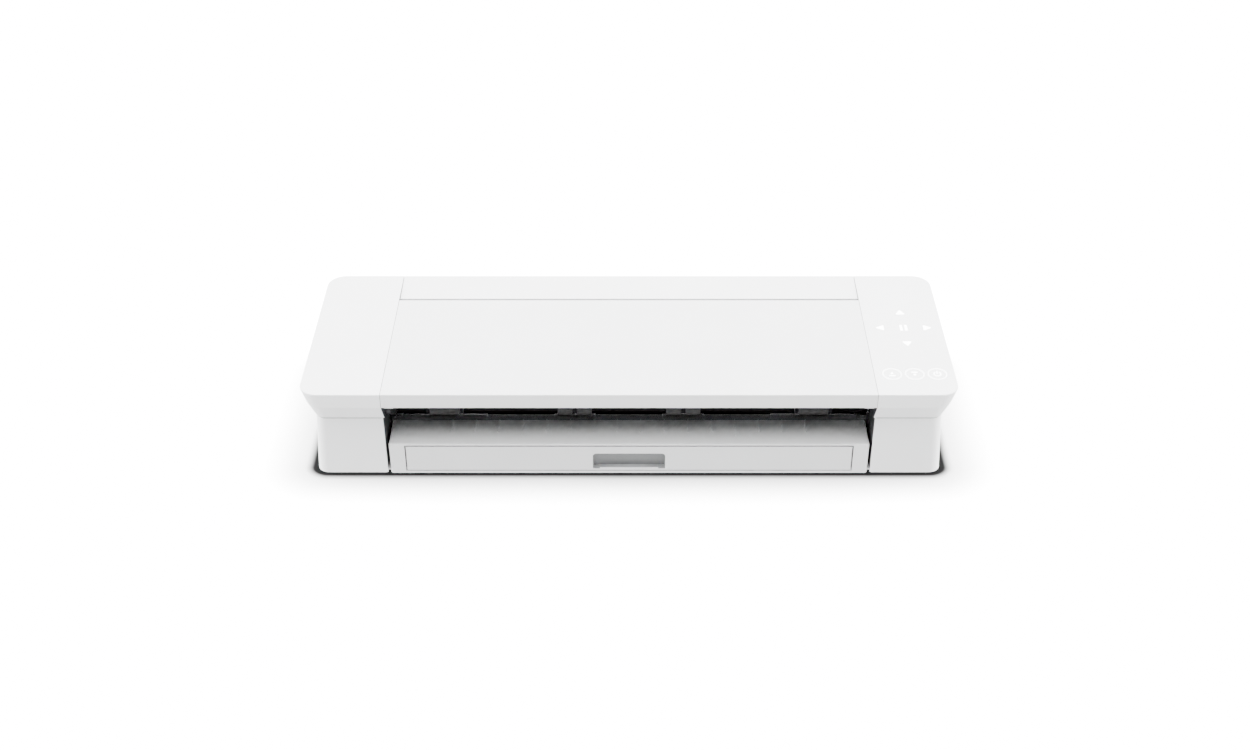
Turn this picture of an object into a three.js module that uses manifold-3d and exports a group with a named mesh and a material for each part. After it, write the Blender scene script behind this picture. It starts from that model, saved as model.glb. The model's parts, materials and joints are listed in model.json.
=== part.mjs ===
// Desktop vinyl cutter with sliding lid, pull-out roll-feed drawer and a two-tool carriage.
// Millimetres, +Z up, front towards -Y, +X to the right seen from the front, floor at Z = 0.
import * as THREE from 'three';
import { mergeVertices } from 'three/addons/utils/BufferGeometryUtils.js';
import Module from 'manifold-3d';

const wasm = await Module();
wasm.setup();

// ---- overall size -------------------------------------------------------------------------
const WIDTH = 570;
const DEPTH = 195;
const HEIGHT = 96;
const HALF_W = WIDTH / 2;
const FRONT = -DEPTH / 2;
const REAR = DEPTH / 2;
const GAP = 0.3;

// ---- housing shells -----------------------------------------------------------------------
const PLATE_Z = 82.3; // underside of the straight upper band
const CHAMFER_Z = 62.2; // foot of the sloping band below it
const CHAMFER_IN = 13; // how far the foot of the sloping band is set back at the front
const CHAMFER_SIDE_IN = 9.2; // and at the sides
const BAND_SIDE_IN = 4; // the straight band leans in this much at the sides
const CORNER_R = 16.5;
const BODY_CORNER_R = 10;
const BODY_Y = 84.5;
const BODY_X_TOP = 275.2;
const BODY_X_FOOT = 279;
const BODY_FOOT_Z = 0.8;
const SHADOW_GAP = 0.6; // groove between the end housings and the covers below them
const WALL = 2.4;
const SEAM_X = 214.3; // inner side of each end housing
const PILLAR_X = 215.5; // inner side of each lower side cover
const PILLAR_END_Y = -50.5;

// ---- lid and rear strip ---------------------------------------------------------------------
const LID_X = 213.9;
const LID_REAR_Y = 54;
const LID_SKIN = 1.5;
const LID_SLOPE = (LID_SKIN + GAP) / (REAR - LID_REAR_Y); // the lid climbs this steeply as it slides back
const STRIP_Y = 58.6;
const LID_RAIL_Y = [-88, 52];
const LID_RAIL_Z = 75.4; // underside of the lid rail at its front end
const LID_RAIL_T = 1.8;
const LID_RAIL_X = 209.5;

// ---- media path -----------------------------------------------------------------------------
const MEDIA_Z = 33;
const APRON_X = 213.3;
const APRON_REAR_Y = -48.5;
const GRIT_Y = -41.5;
const GRIT_Z = 28;
const GRIT_R = 5.6;
const SHAFT_R = 5;
const PINCH_R = 4.5;
const PINCH_Z = GRIT_Z + GRIT_R + 0.8 + PINCH_R;
const BAR_Y = -44;
const BAR_Z = 52;
const BAR_R = 4;
const PINCH_LIFT = 3;
const TICK_PITCH = 21.2;
const TICK_COUNT = 16;
const LEVER_Y = -45;
const LEVER_Z = 41.3;

// ---- side frames, rail and carriage -----------------------------------------------------------
const FRAME_X = 217;
const FRAME_T = 1.8;
const FRAME_Y = [-50.2, 80];
const FRAME_Z = [4.4, 79];
const RAIL_Y = [-2, 20];
const GUIDE_Z = [50, 72];
const BELT_Y = [24.8, 30.8];
const BELT_Z = 60;
const PULLEY_X = 237.5;
const PULLEY_R = 7.7;
const CARRIAGE_X = 165;
const CARRIAGE_HALF = 36;
const TOOL_Y = -26;
const TOOL_OFFSET = 18;

// ---- drawer -----------------------------------------------------------------------------------
const DRAWER_X = 198.2;
const DRAWER_Z = [4, 30.3];
const DOORWAY = [199.3, 3, 31.3]; // half width, sill and head of the opening round the drawer front
const TRAY_X = 196.8;
const TRAY_Y = [-81.2, 10];
const TRAY_Z = [4.6, 21.3];
const FEED_Y = [-52, -22];
const FEED_Z = 14.5;
const FEED_R = 4.5;
const POCKET_X = 32.25;
const POCKET_REAR = -75.6;
const LIP_R = 98.3; // radius of the bulging ledge along the foot of the finger recess
const LIP_BULGE = 3.5;

// ---- solids -----------------------------------------------------------------------------------
function solid(geometry) {
  geometry.deleteAttribute('normal');
  geometry.deleteAttribute('uv');
  const merged = mergeVertices(geometry, 1e-4);
  const mesh = new wasm.Mesh({
    numProp: 3,
    vertProperties: new Float32Array(merged.attributes.position.array),
    triVerts: new Uint32Array(merged.index.array),
  });
  return new wasm.Manifold(mesh);
}

function cut(body, ...tools) {
  return tools.reduce((left, tool) => left.subtract(tool), body);
}

function join(body, ...others) {
  return others.reduce((left, other) => left.add(other), body);
}

function box(x0, x1, y0, y1, z0, z1) {
  const geometry = new THREE.BoxGeometry(x1 - x0, y1 - y0, z1 - z0);
  return solid(geometry.translate((x0 + x1) / 2, (y0 + y1) / 2, (z0 + z1) / 2));
}

// Turned profile of [radius, distance] pairs about an axis through (x, y, z).
function turned(axis, x, y, z, profile, segments = 24) {
  const points = profile.map(([r, d]) => new THREE.Vector2(r, d));
  const geometry = new THREE.LatheGeometry([...points, points[0]], segments);
  if (axis === 'x') {
    geometry.rotateZ(-Math.PI / 2);
  }
  if (axis === 'z') {
    geometry.rotateX(Math.PI / 2);
  }
  return solid(geometry.translate(x, y, z));
}

function rod(axis, x, y, z, radius, from, to, segments = 24) {
  return turned(axis, x, y, z, [[0, from], [radius, from], [radius, to], [0, to]], segments);
}

function ring(axis, x, y, z, inner, outer, from, to, segments = 24) {
  return turned(axis, x, y, z, [[inner, from], [outer, from], [outer, to], [inner, to]], segments);
}

// Closed polygon of [y, z] pairs drawn out along X.
function alongX(x0, x1, outline) {
  const shape = new THREE.Shape(outline.map(([y, z]) => new THREE.Vector2(y, z)));
  const geometry = new THREE.ExtrudeGeometry(shape, { depth: x1 - x0, bevelEnabled: false });
  geometry.rotateY(Math.PI / 2).rotateX(Math.PI / 2);
  return solid(geometry.translate(x0, 0, 0));
}

// Strip between two heights that rises backwards at the slope of the lid's travel.
function climbing(x0, x1, y0, y1, low, high) {
  const lift = (y) => LID_SLOPE * (y - LID_RAIL_Y[0]);
  const tops = typeof high === 'function' ? [high(y0), high(y1)] : [high + lift(y0), high + lift(y1)];
  return alongX(x0, x1, [[y0, low + lift(y0)], [y1, low + lift(y1)], [y1, tops[1]], [y0, tops[0]]]);
}

// Plan outline with its own radius at each corner, counter-clockwise from the front left one.
function plan(x0, x1, y0, y1, radii, steps = 8) {
  const corners = [
    [x0, y0, 1, 1, Math.PI],
    [x1, y0, -1, 1, 1.5 * Math.PI],
    [x1, y1, -1, -1, 0],
    [x0, y1, 1, -1, 0.5 * Math.PI],
  ];
  const points = [];
  corners.forEach(([x, y, sx, sy, start], index) => {
    const r = Math.max(radii[index], 0.02);
    for (let i = 0; i <= steps; i += 1) {
      const a = start + (0.5 * Math.PI * i) / steps;
      points.push([x + sx * r + r * Math.cos(a), y + sy * r + r * Math.sin(a)]);
    }
  });
  return points;
}

// Skin through equal plan outlines at rising heights, capped at both ends.
function loft(levels) {
  const count = levels[0].outline.length;
  const positions = levels.flatMap(({ z, outline }) => outline.flatMap(([x, y]) => [x, y, z]));
  const index = [];
  for (let k = 0; k + 1 < levels.length; k += 1) {
    for (let i = 0; i < count; i += 1) {
      const a = k * count + i;
      const b = k * count + ((i + 1) % count);
      index.push(a, b, b + count, a, b + count, a + count);
    }
  }
  const top = (levels.length - 1) * count;
  for (let i = 1; i + 1 < count; i += 1) {
    index.push(0, i + 1, i);
    index.push(top, top + i, top + i + 1);
  }
  const geometry = new THREE.BufferGeometry();
  geometry.setAttribute('position', new THREE.Float32BufferAttribute(positions, 3));
  geometry.setIndex(index);
  return solid(geometry);
}

function roundedBlock(x0, x1, y0, y1, z0, z1, radius, edge = 0.6) {
  const radii = [radius, radius, radius, radius];
  const small = radii.map((r) => Math.max(r - edge, 0.1));
  return loft([
    { z: z0, outline: plan(x0 + edge, x1 - edge, y0 + edge, y1 - edge, small, 4) },
    { z: z0 + edge, outline: plan(x0, x1, y0, y1, radii, 4) },
    { z: z1 - edge, outline: plan(x0, x1, y0, y1, radii, 4) },
    { z: z1, outline: plan(x0 + edge, x1 - edge, y0 + edge, y1 - edge, small, 4) },
  ]);
}

function mirrorX(body) {
  return body.mirror([1, 0, 0]);
}

// ---- assembly ---------------------------------------------------------------------------------
const group = new THREE.Group();
group.name = 'vinyl_cutter';

const FINISH = {
  shell: { color: 0xf1f2f3, roughness: 0.48, metalness: 0 },
  lidShell: { color: 0xeeeff0, roughness: 0.5, metalness: 0 },
  inner: { color: 0xe4e5e6, roughness: 0.55, metalness: 0 },
  dark: { color: 0x2a2b2d, roughness: 0.6, metalness: 0 },
  grey: { color: 0x8b8e92, roughness: 0.55, metalness: 0 },
  blue: { color: 0x5f7f95, roughness: 0.5, metalness: 0 },
  steel: { color: 0xb7babd, roughness: 0.35, metalness: 1 },
  aluminium: { color: 0xc6c8ca, roughness: 0.3, metalness: 1 },
  rubber: { color: 0x1d1d1e, roughness: 0.85, metalness: 0 },
  grit: { color: 0x77797c, roughness: 0.75, metalness: 0.8 },
  board: { color: 0x1f5a3a, roughness: 0.5, metalness: 0 },
};

function add(name, body, finish) {
  const source = body.getMesh();
  const positions = new Float32Array((source.vertProperties.length / source.numProp) * 3);
  for (let i = 0; i < positions.length / 3; i += 1) {
    for (let k = 0; k < 3; k += 1) {
      positions[3 * i + k] = source.vertProperties[source.numProp * i + k];
    }
  }
  const indexed = new THREE.BufferGeometry();
  indexed.setAttribute('position', new THREE.BufferAttribute(positions, 3));
  indexed.setIndex(Array.from(source.triVerts));
  const geometry = indexed.toNonIndexed();
  geometry.computeVertexNormals();
  const mesh = new THREE.Mesh(geometry, new THREE.MeshStandardMaterial(FINISH[finish]));
  mesh.name = name;
  group.add(mesh);
}

// ---- end housings: straight band, sloping band below, rounded outer corners ---------------------
function housingOutline(sideInset, endInset, radius, wall = 0) {
  const reach = HALF_W - sideInset - wall;
  const half = REAR - endInset - wall;
  return plan(SEAM_X + wall, reach, -half, half, [0, radius, radius, 0]);
}

function endHousing() {
  const outer = loft([
    { z: CHAMFER_Z, outline: housingOutline(CHAMFER_SIDE_IN, CHAMFER_IN, BODY_CORNER_R) },
    { z: PLATE_Z, outline: housingOutline(BAND_SIDE_IN, 0, CORNER_R) },
    { z: HEIGHT - 1, outline: housingOutline(0, 0, CORNER_R) },
    { z: HEIGHT - 0.3, outline: housingOutline(0.3, 0.3, CORNER_R - 0.3) },
    { z: HEIGHT, outline: housingOutline(1, 1, CORNER_R - 1) },
  ]);
  const hollow = loft([
    {
      z: CHAMFER_Z - 1,
      outline: housingOutline(CHAMFER_SIDE_IN + 0.8, CHAMFER_IN + 0.8, BODY_CORNER_R - 2, WALL),
    },
    { z: PLATE_Z - 1, outline: housingOutline(BAND_SIDE_IN + 0.9, 0.9, CORNER_R - 3, WALL) },
    { z: HEIGHT - WALL, outline: housingOutline(0, 0, CORNER_R - 3, WALL) },
  ]);
  const [railFront, railRear] = LID_RAIL_Y;
  const railTop = LID_RAIL_Z + LID_RAIL_T;
  const lidRail = climbing(LID_RAIL_X, SEAM_X + 1, railFront, railRear, LID_RAIL_Z, railTop);
  const railNotch = box(SEAM_X - 1, SEAM_X + 3, RAIL_Y[0] - 1, 33, CHAMFER_Z - 1, GUIDE_Z[1] + 1);
  return join(cut(outer, hollow, railNotch), lidRail);
}

add('right_end_housing', endHousing(), 'shell');
add('left_end_housing', mirrorX(endHousing()), 'shell');

// ---- lower side covers --------------------------------------------------------------------------
function sideOutline(x, wall, inset = 0) {
  const radius = BODY_CORNER_R - wall;
  const half = BODY_Y - wall - inset;
  return plan(PILLAR_X + wall, x - wall - inset, -half, half, [wall ? 0 : 2.5, radius, radius, 0]);
}

function sideCover() {
  const top = CHAMFER_Z - SHADOW_GAP;
  const outer = loft([
    { z: BODY_FOOT_Z, outline: sideOutline(BODY_X_FOOT, 0, 0.8) },
    { z: BODY_FOOT_Z + 0.8, outline: sideOutline(BODY_X_FOOT, 0) },
    { z: top, outline: sideOutline(BODY_X_TOP, 0) },
  ]);
  const hollow = loft([
    { z: BODY_FOOT_Z - 1, outline: sideOutline(BODY_X_FOOT, 2.5) },
    { z: top + 1, outline: sideOutline(BODY_X_TOP, 2.5) },
  ]);
  const innerSide = box(PILLAR_X - 1, 218.2, PILLAR_END_Y, BODY_Y - 2.5, 0, 70);
  const overBase = box(PILLAR_X - 1, 218.4, -82, PILLAR_END_Y + 1, 0, 4.4);
  return cut(outer, hollow, innerSide, overBase);
}

const JACK_X = 236;
const USB_X = 258;
const SOCKET_Z = 18;
const jackHole = rod('y', JACK_X, 0, SOCKET_Z, 5.3, 80, 86);
const usbHole = box(USB_X - 6.6, USB_X + 6.6, 80, 86, SOCKET_Z - 6.1, SOCKET_Z + 6.1);
add('right_side_cover', cut(sideCover(), jackHole, usbHole), 'shell');
add('left_side_cover', mirrorX(sideCover()), 'shell');

// ---- rear strip and rear cover --------------------------------------------------------------------
const stripTop = (y) => HEIGHT - LID_SLOPE * (REAR - y);
const stripSection = [
  [STRIP_Y, stripTop(STRIP_Y) - 0.3], [STRIP_Y, 76], [STRIP_Y + 2, 76], [STRIP_Y + 2, stripTop(STRIP_Y) - 2],
  [95.4, stripTop(95.4) - 2], [95.4, 82.2], [83, 63], [83, CHAMFER_Z], [85.5, CHAMFER_Z],
  [REAR, PLATE_Z], [REAR, HEIGHT - 1], [REAR - 0.3, HEIGHT - 0.35], [REAR - 1, stripTop(REAR - 1)],
  [STRIP_Y + 0.3, stripTop(STRIP_Y + 0.3)],
];
add('rear_top_strip', alongX(-LID_X, LID_X, stripSection), 'shell');

function rearCover() {
  const panel = box(-PILLAR_X + GAP, PILLAR_X - GAP, 82, BODY_Y, BODY_FOOT_Z + 0.3, CHAMFER_Z - GAP);
  const mediaSlot = box(-190, 190, 80, 86, MEDIA_Z - 0.2, 43);
  const hood = alongX(-194, 194, [
    [BODY_Y - 1, 44.2], [BODY_Y + 5, 43], [BODY_Y + 5, 44.6], [BODY_Y - 1, 49],
  ]);
  return join(cut(panel, mediaSlot), hood);
}
add('rear_cover', rearCover(), 'shell');

// ---- base pan and feet ------------------------------------------------------------------------------
const BASE_Z = [2.3, 4.1];
const FOOT_X = 240;
const FOOT_Y = 62;
const BOARD_X = [30, 190];
const BOARD_Y = [18, 78];

function basePan() {
  const floor = loft([
    { z: BASE_Z[0], outline: plan(-275.8, 275.8, -81.7, 81.7, [7.5, 7.5, 7.5, 7.5]) },
    { z: BASE_Z[1], outline: plan(-275.8, 275.8, -81.7, 81.7, [7.5, 7.5, 7.5, 7.5]) },
  ]);
  const additions = [];
  for (const side of [-1, 1]) {
    additions.push(box(side * 199.1 - 0.9, side * 199.1 + 0.9, -78, 30, BASE_Z[0] + 0.5, 12));
    additions.push(box(side * 60 - 1, side * 60 + 1, 14, 15.5, BASE_Z[0] + 0.5, 12));
  }
  for (const x of [BOARD_X[0] + 6, BOARD_X[1] - 6]) {
    for (const y of [BOARD_Y[0] + 6, BOARD_Y[1] - 6]) {
      additions.push(rod('z', x, y, 0, 3, BASE_Z[0] + 0.5, 8, 12));
    }
  }
  const holes = [];
  for (const x of [-FOOT_X, FOOT_X]) {
    for (const y of [-FOOT_Y, FOOT_Y]) {
      holes.push(rod('z', x, y, 0, 3, 0, 6));
    }
  }
  return cut(join(floor, ...additions), ...holes);
}
add('base_pan', basePan(), 'inner');

function foot(x, y) {
  const profile = [[0, 0], [8.4, 0], [9, 0.6], [9, 2], [2.6, 2], [2.6, 4.4], [4, 4.6], [2, 7], [0, 7]];
  return turned('z', x, y, 0, profile);
}
add('foot_front_left', foot(-FOOT_X, -FOOT_Y), 'rubber');
add('foot_front_right', foot(FOOT_X, -FOOT_Y), 'rubber');
add('foot_rear_left', foot(-FOOT_X, FOOT_Y), 'rubber');
add('foot_rear_right', foot(FOOT_X, FOOT_Y), 'rubber');

// ---- media apron with the frame round the drawer -----------------------------------------------------
function apronOutline(inset) {
  return plan(-APRON_X + inset, APRON_X - inset, -BODY_Y + inset, APRON_REAR_Y, [2.5, 2.5, 0, 0]);
}

function mediaApron() {
  const outer = loft([
    { z: BODY_FOOT_Z, outline: apronOutline(0) },
    { z: MEDIA_Z - 1.6, outline: apronOutline(0) },
    { z: MEDIA_Z - 0.5, outline: apronOutline(0.5) },
    { z: MEDIA_Z, outline: apronOutline(1.6) },
  ]);
  const hollow = box(-APRON_X + 1.8, APRON_X - 1.8, -BODY_Y + 1.8, APRON_REAR_Y - 1.8, 0, MEDIA_Z - 1.8);
  const overBase = box(-APRON_X - 1, APRON_X + 1, -82.1, APRON_REAR_Y + 1, 0, 4.4);
  const rearFoot = box(-APRON_X - 1, APRON_X + 1, APRON_REAR_Y - 2.5, APRON_REAR_Y + 1, 0, 26);
  const doorway = box(-DOORWAY[0], DOORWAY[0], -BODY_Y - 1, -BODY_Y + 3, DOORWAY[1], DOORWAY[2]);
  const ticks = [];
  for (let i = 0; i < TICK_COUNT; i += 1) {
    const x = TICK_PITCH * (i - (TICK_COUNT - 1) / 2);
    const long = Math.abs(Math.abs(x) - 4.5 * TICK_PITCH) < 1;
    ticks.push(box(x - 0.5, x + 0.5, long ? -73 : -66, APRON_REAR_Y - 0.5, MEDIA_Z - 0.8, MEDIA_Z + 0.8));
  }
  return join(cut(outer, hollow, overBase, rearFoot, doorway), ...ticks);
}
add('media_apron', mediaApron(), 'shell');

// ---- lid: thin skin, front lip and two shoes that hold the housing rails ------------------------
function lid() {
  const skin = alongX(-LID_X, LID_X, [
    [FRONT, PLATE_Z], [FRONT + 2, PLATE_Z], [FRONT + 2, HEIGHT - LID_SKIN],
    [LID_REAR_Y, HEIGHT - LID_SKIN], [LID_REAR_Y, HEIGHT - 0.4], [LID_REAR_Y - 0.4, HEIGHT],
    [FRONT + 1, HEIGHT], [FRONT + 0.3, HEIGHT - 0.3], [FRONT, HEIGHT - 1],
  ]);
  const parts = [box(-205, 205, -59, -57, 88, HEIGHT - 1)];
  for (const side of [-1, 1]) {
    const span = (a, b) => [Math.min(side * a, side * b), Math.max(side * a, side * b)];
    const [front, back] = [LID_RAIL_Y[0] + 2, LID_RAIL_Y[0] + 31];
    const under = LID_RAIL_Z - 0.5;
    const over = LID_RAIL_Z + LID_RAIL_T + 0.5;
    const skinTop = () => HEIGHT - 1;
    parts.push(climbing(...span(205.5, 208.9), front, back, under - 1.7, skinTop));
    parts.push(climbing(...span(208.8, 213.4), front, back, over, skinTop));
    parts.push(climbing(...span(208.8, 213.4), front, back, under - 1.7, under));
    parts.push(box(...span(204, 206), -96, -57, 88, HEIGHT - 1));
  }
  return join(skin, ...parts);
}
add('lid', lid(), 'lidShell');

// ---- steel side frames --------------------------------------------------------------------------
function sideFrame(leverHole) {
  const plate = box(FRAME_X, FRAME_X + FRAME_T, FRAME_Y[0], FRAME_Y[1], FRAME_Z[0], FRAME_Z[1]);
  const flange = box(FRAME_X, FRAME_X + 9, 78.2, FRAME_Y[1], FRAME_Z[0], 60);
  const foot2 = box(FRAME_X, FRAME_X + 10, -20, 60, FRAME_Z[0], FRAME_Z[0] + 1.8);
  const bushHole = rod('x', 0, GRIT_Y, GRIT_Z, 7.7, 210, 230);
  const slotLow = rod('x', 0, BAR_Y, BAR_Z, BAR_R + 0.5, 210, 230);
  const slotHigh = rod('x', 0, BAR_Y, BAR_Z + PINCH_LIFT, BAR_R + 0.5, 210, 230);
  const half = BAR_R + 0.5;
  const slotMiddle = box(210, 230, BAR_Y - half, BAR_Y + half, BAR_Z, BAR_Z + PINCH_LIFT);
  const beltSlot = box(210, 230, 23.5, 32.2, 49.2, 70.8);
  const plate2 = cut(join(plate, flange, foot2), bushHole, slotLow, slotHigh, slotMiddle, beltSlot);
  return leverHole ? cut(plate2, rod('x', 0, LEVER_Y, LEVER_Z, 3.3, 210, 230)) : plate2;
}
add('right_side_frame', sideFrame(false), 'steel');
add('left_side_frame', mirrorX(sideFrame(true)), 'steel');

// ---- platen and cutting strip -------------------------------------------------------------------
function platen() {
  const bed = box(-216.5, 216.5, -35.1, 81.7, 31, MEDIA_Z + 0.2);
  const ribs = [-34, 12, 40, 76].map((y) => box(-205, 205, y, y + 2, y < 0 ? 28.5 : 26, 31.5));
  const groove = box(-208, 208, TOOL_Y - 4.2, TOOL_Y + 4.2, MEDIA_Z - 0.8, MEDIA_Z + 1);
  return cut(join(bed, ...ribs), groove);
}
add('platen', platen(), 'dark');
const strip = box(-207.6, 207.6, TOOL_Y - 3.9, TOOL_Y + 3.9, MEDIA_Z - 0.5, MEDIA_Z + 0.4);
add('cutting_strip', strip, 'inner');

// ---- grit roller, bushes and its belt drive -----------------------------------------------------
const PINCH_SPANS = [[-180, -153], [-64.5, -33.6], [33.6, 64.5], [153, 180]];

function gritRoller() {
  const profile = [[0, -221], [SHAFT_R, -221]];
  for (const [a, b] of [[-206, -128], [-68, -30], [30, 68], [128, 206]]) {
    profile.push([SHAFT_R, a], [GRIT_R, a + 0.6], [GRIT_R, b - 0.6], [SHAFT_R, b]);
  }
  profile.push([SHAFT_R, 223], [3, 223], [3, 230.5], [0, 230.5]);
  return turned('x', 0, GRIT_Y, GRIT_Z, profile, 28);
}
add('grit_roller', gritRoller(), 'grit');

function rollerBush() {
  const profile = [[5.3, 215], [6.8, 215], [6.8, 216.7], [7.4, 216.7], [7.4, 220.3], [5.3, 220.3]];
  return turned('x', 0, GRIT_Y, GRIT_Z, profile);
}
add('right_roller_bush', rollerBush(), 'dark');
add('left_roller_bush', mirrorX(rollerBush()), 'dark');

const FEED_MOTOR_Y = 5;
const GRIT_PULLEY_R = 13;
const FEED_PULLEY_R = 6;
const gritPulley = turned('x', 0, GRIT_Y, GRIT_Z, [
  [3.3, 223.3], [GRIT_PULLEY_R + 1, 223.3], [GRIT_PULLEY_R + 1, 224.2], [GRIT_PULLEY_R, 224.2],
  [GRIT_PULLEY_R, 229.4], [GRIT_PULLEY_R + 1, 229.4], [GRIT_PULLEY_R + 1, 230.2], [3.3, 230.2],
], 32);
add('grit_roller_pulley', gritPulley, 'dark');

const feedMotorPulley = turned('x', 0, FEED_MOTOR_Y, GRIT_Z, [
  [0, 223.3], [FEED_PULLEY_R + 1, 223.3], [FEED_PULLEY_R + 1, 224.2], [FEED_PULLEY_R, 224.2],
  [FEED_PULLEY_R, 229.4], [FEED_PULLEY_R + 1, 229.4], [FEED_PULLEY_R + 1, 230.2], [2.5, 230.2],
  [2.5, 238], [0, 238],
]);
add('feed_motor_pulley', feedMotorPulley, 'steel');

// Outline of a belt round two wheels: the hull of both circles.
function beltOutline(a0, b0, r0, a1, b1, r1) {
  const spread = Math.atan2(b1 - b0, a1 - a0);
  const lean = Math.acos((r0 - r1) / Math.hypot(a1 - a0, b1 - b0));
  const points = [];
  const arc = (a, b, r, from, to) => {
    for (let i = 0; i <= 16; i += 1) {
      const t = from + ((to - from) * i) / 16;
      points.push([a + r * Math.cos(t), b + r * Math.sin(t)]);
    }
  };
  arc(a0, b0, r0, spread + lean, spread + 2 * Math.PI - lean);
  arc(a1, b1, r1, spread - lean, spread + lean);
  return points;
}

function feedBelt() {
  const loop = (grow) => beltOutline(
    GRIT_Y, GRIT_Z, GRIT_PULLEY_R + grow, FEED_MOTOR_Y, GRIT_Z, FEED_PULLEY_R + grow,
  );
  return cut(alongX(224.6, 229, loop(1.5)), alongX(223, 231, loop(0.3)));
}
add('feed_belt', feedBelt(), 'rubber');

function feedMotor() {
  const can = rod('x', 0, FEED_MOTOR_Y, GRIT_Z, 17, 232.4, 262, 28);
  const flange = roundedBlock(-21, 21, -21, 21, 231, 233, 4, 0.3).rotate([0, 90, 0]);
  const placed = flange.translate([0, FEED_MOTOR_Y, GRIT_Z]);
  const bore = rod('x', 0, FEED_MOTOR_Y, GRIT_Z, 2.8, 228, 238.4);
  return cut(join(can, placed), bore);
}
add('feed_motor', feedMotor(), 'steel');

// ---- pinch bar, arms, rollers and release lever -------------------------------------------------
add('pinch_bar', rod('x', 0, BAR_Y, BAR_Z, BAR_R, -226, 222, 20), 'steel');

function pinchArm([from, to], forked) {
  const middle = (from + to) / 2;
  const half = forked ? (to - from) / 2 + 3.4 : 5;
  const block = roundedBlock(middle - half, middle + half, BAR_Y - 5.6, -38.4, 46.6, 57.4, 1.5, 0.4);
  const prongs = [];
  const centres = forked ? [middle - half + 1.5, middle + half - 1.5] : [middle];
  for (const x of centres) {
    const reach = forked ? 1.3 : 1.7;
    prongs.push(box(x - reach, x + reach, GRIT_Y - 3.2, GRIT_Y + 3.1, PINCH_Z, 48));
    prongs.push(rod('x', x, GRIT_Y, PINCH_Z, 3.2, -reach, reach, 20));
  }
  const barHole = rod('x', middle, BAR_Y, BAR_Z, BAR_R + GAP, -40, 40, 20);
  const axleHole = rod('x', middle, GRIT_Y, PINCH_Z, 2 + GAP, -40, 40, 20);
  return cut(join(block, ...prongs), barHole, axleHole);
}

function pinchRoller([from, to], forked) {
  const r = PINCH_R;
  if (forked) {
    const profile = [
      [0, from - 3.1], [2, from - 3.1], [2, from], [r - 0.5, from], [r, from + 0.5],
      [r, to - 0.5], [r - 0.5, to], [2, to], [2, to + 3.1], [0, to + 3.1],
    ];
    return turned('x', 0, GRIT_Y, PINCH_Z, profile);
  }
  const middle = (from + to) / 2;
  const profile = [
    [0, from], [r - 0.5, from], [r, from + 0.5], [r, middle - 2.2], [2, middle - 2.2],
    [2, middle + 2.2], [r, middle + 2.2], [r, to - 0.5], [r - 0.5, to], [0, to],
  ];
  return turned('x', 0, GRIT_Y, PINCH_Z, profile);
}

PINCH_SPANS.forEach((span, index) => {
  const forked = index === 0 || index === 3;
  add(`pinch_arm_${index + 1}`, pinchArm(span, forked), 'dark');
  add(`pinch_roller_${index + 1}`, pinchRoller(span, forked), 'grey');
});

function releaseLever() {
  const shaft = rod('x', 0, LEVER_Y, LEVER_Z, 3, -228, -210);
  const hub = rod('x', 0, LEVER_Y, LEVER_Z, 5.6, -215.6, -210);
  const cam = rod('x', 0, LEVER_Y, LEVER_Z, 5.4, -226, -220);
  const lobeAngle = (50 * Math.PI) / 180;
  const lobeY = LEVER_Y + 6 * Math.cos(lobeAngle);
  const lobeZ = LEVER_Z + 6 * Math.sin(lobeAngle);
  const lobe = rod('x', 0, lobeY, lobeZ, 2.3, -226, -220, 16);
  const handle = alongX(-213.8, -210.2, [
    [-43, 44.5], [-47.5, 38.2], [-72, 57.6], [-75.5, 61], [-75, 64.6], [-71.5, 65.4], [-68, 63],
  ]);
  return join(shaft, hub, cam, lobe, handle);
}
add('release_lever', releaseLever(), 'dark');

// ---- carriage rail, carriage and tools ----------------------------------------------------------
function carriageRail() {
  const [y0, y1] = RAIL_Y;
  const [z0, z1] = GUIDE_Z;
  const beam = box(-216.6, 216.6, y0, y1, z0, z1);
  const core = box(-220, 220, y0 + 3, y1 - 3, z0 + 3, z1 - 3);
  const frontTrack = box(-220, 220, y0 - 1, y0 + 1.2, 58, 64);
  return cut(beam, core, frontTrack);
}
add('carriage_rail', carriageRail(), 'aluminium');

const CAR_X = [CARRIAGE_X - CARRIAGE_HALF, CARRIAGE_X + CARRIAGE_HALF];

function carriageBody() {
  const saddle = alongX(CAR_X[0], CAR_X[1], [
    [-14, 46.4], [8, 46.4], [8, 49.5], [-2.5, 49.5], [-2.5, 72.5], [12, 72.5], [12, 75.5], [-14, 75.5],
  ]);
  const arm = box(CARRIAGE_X - 12, CARRIAGE_X + 12, 11, 31.4, 72.5, 75.5);
  const clamp = box(CARRIAGE_X - 12, CARRIAGE_X + 12, 23, 31.4, 69.7, 73);
  const runner = box(CAR_X[0] + 8, CAR_X[1] - 8, -3, -1.1, 59, 63);
  return join(saddle, arm, clamp, runner);
}
add('carriage_body', carriageBody(), 'dark');
const coverCap = roundedBlock(CAR_X[0], CAR_X[1], -14, 12, 75.8, 79, 4, 1);
add('carriage_cover', coverCap, 'inner');

const TOOL_XS = { a: CARRIAGE_X - TOOL_OFFSET, b: CARRIAGE_X + TOOL_OFFSET };

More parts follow.
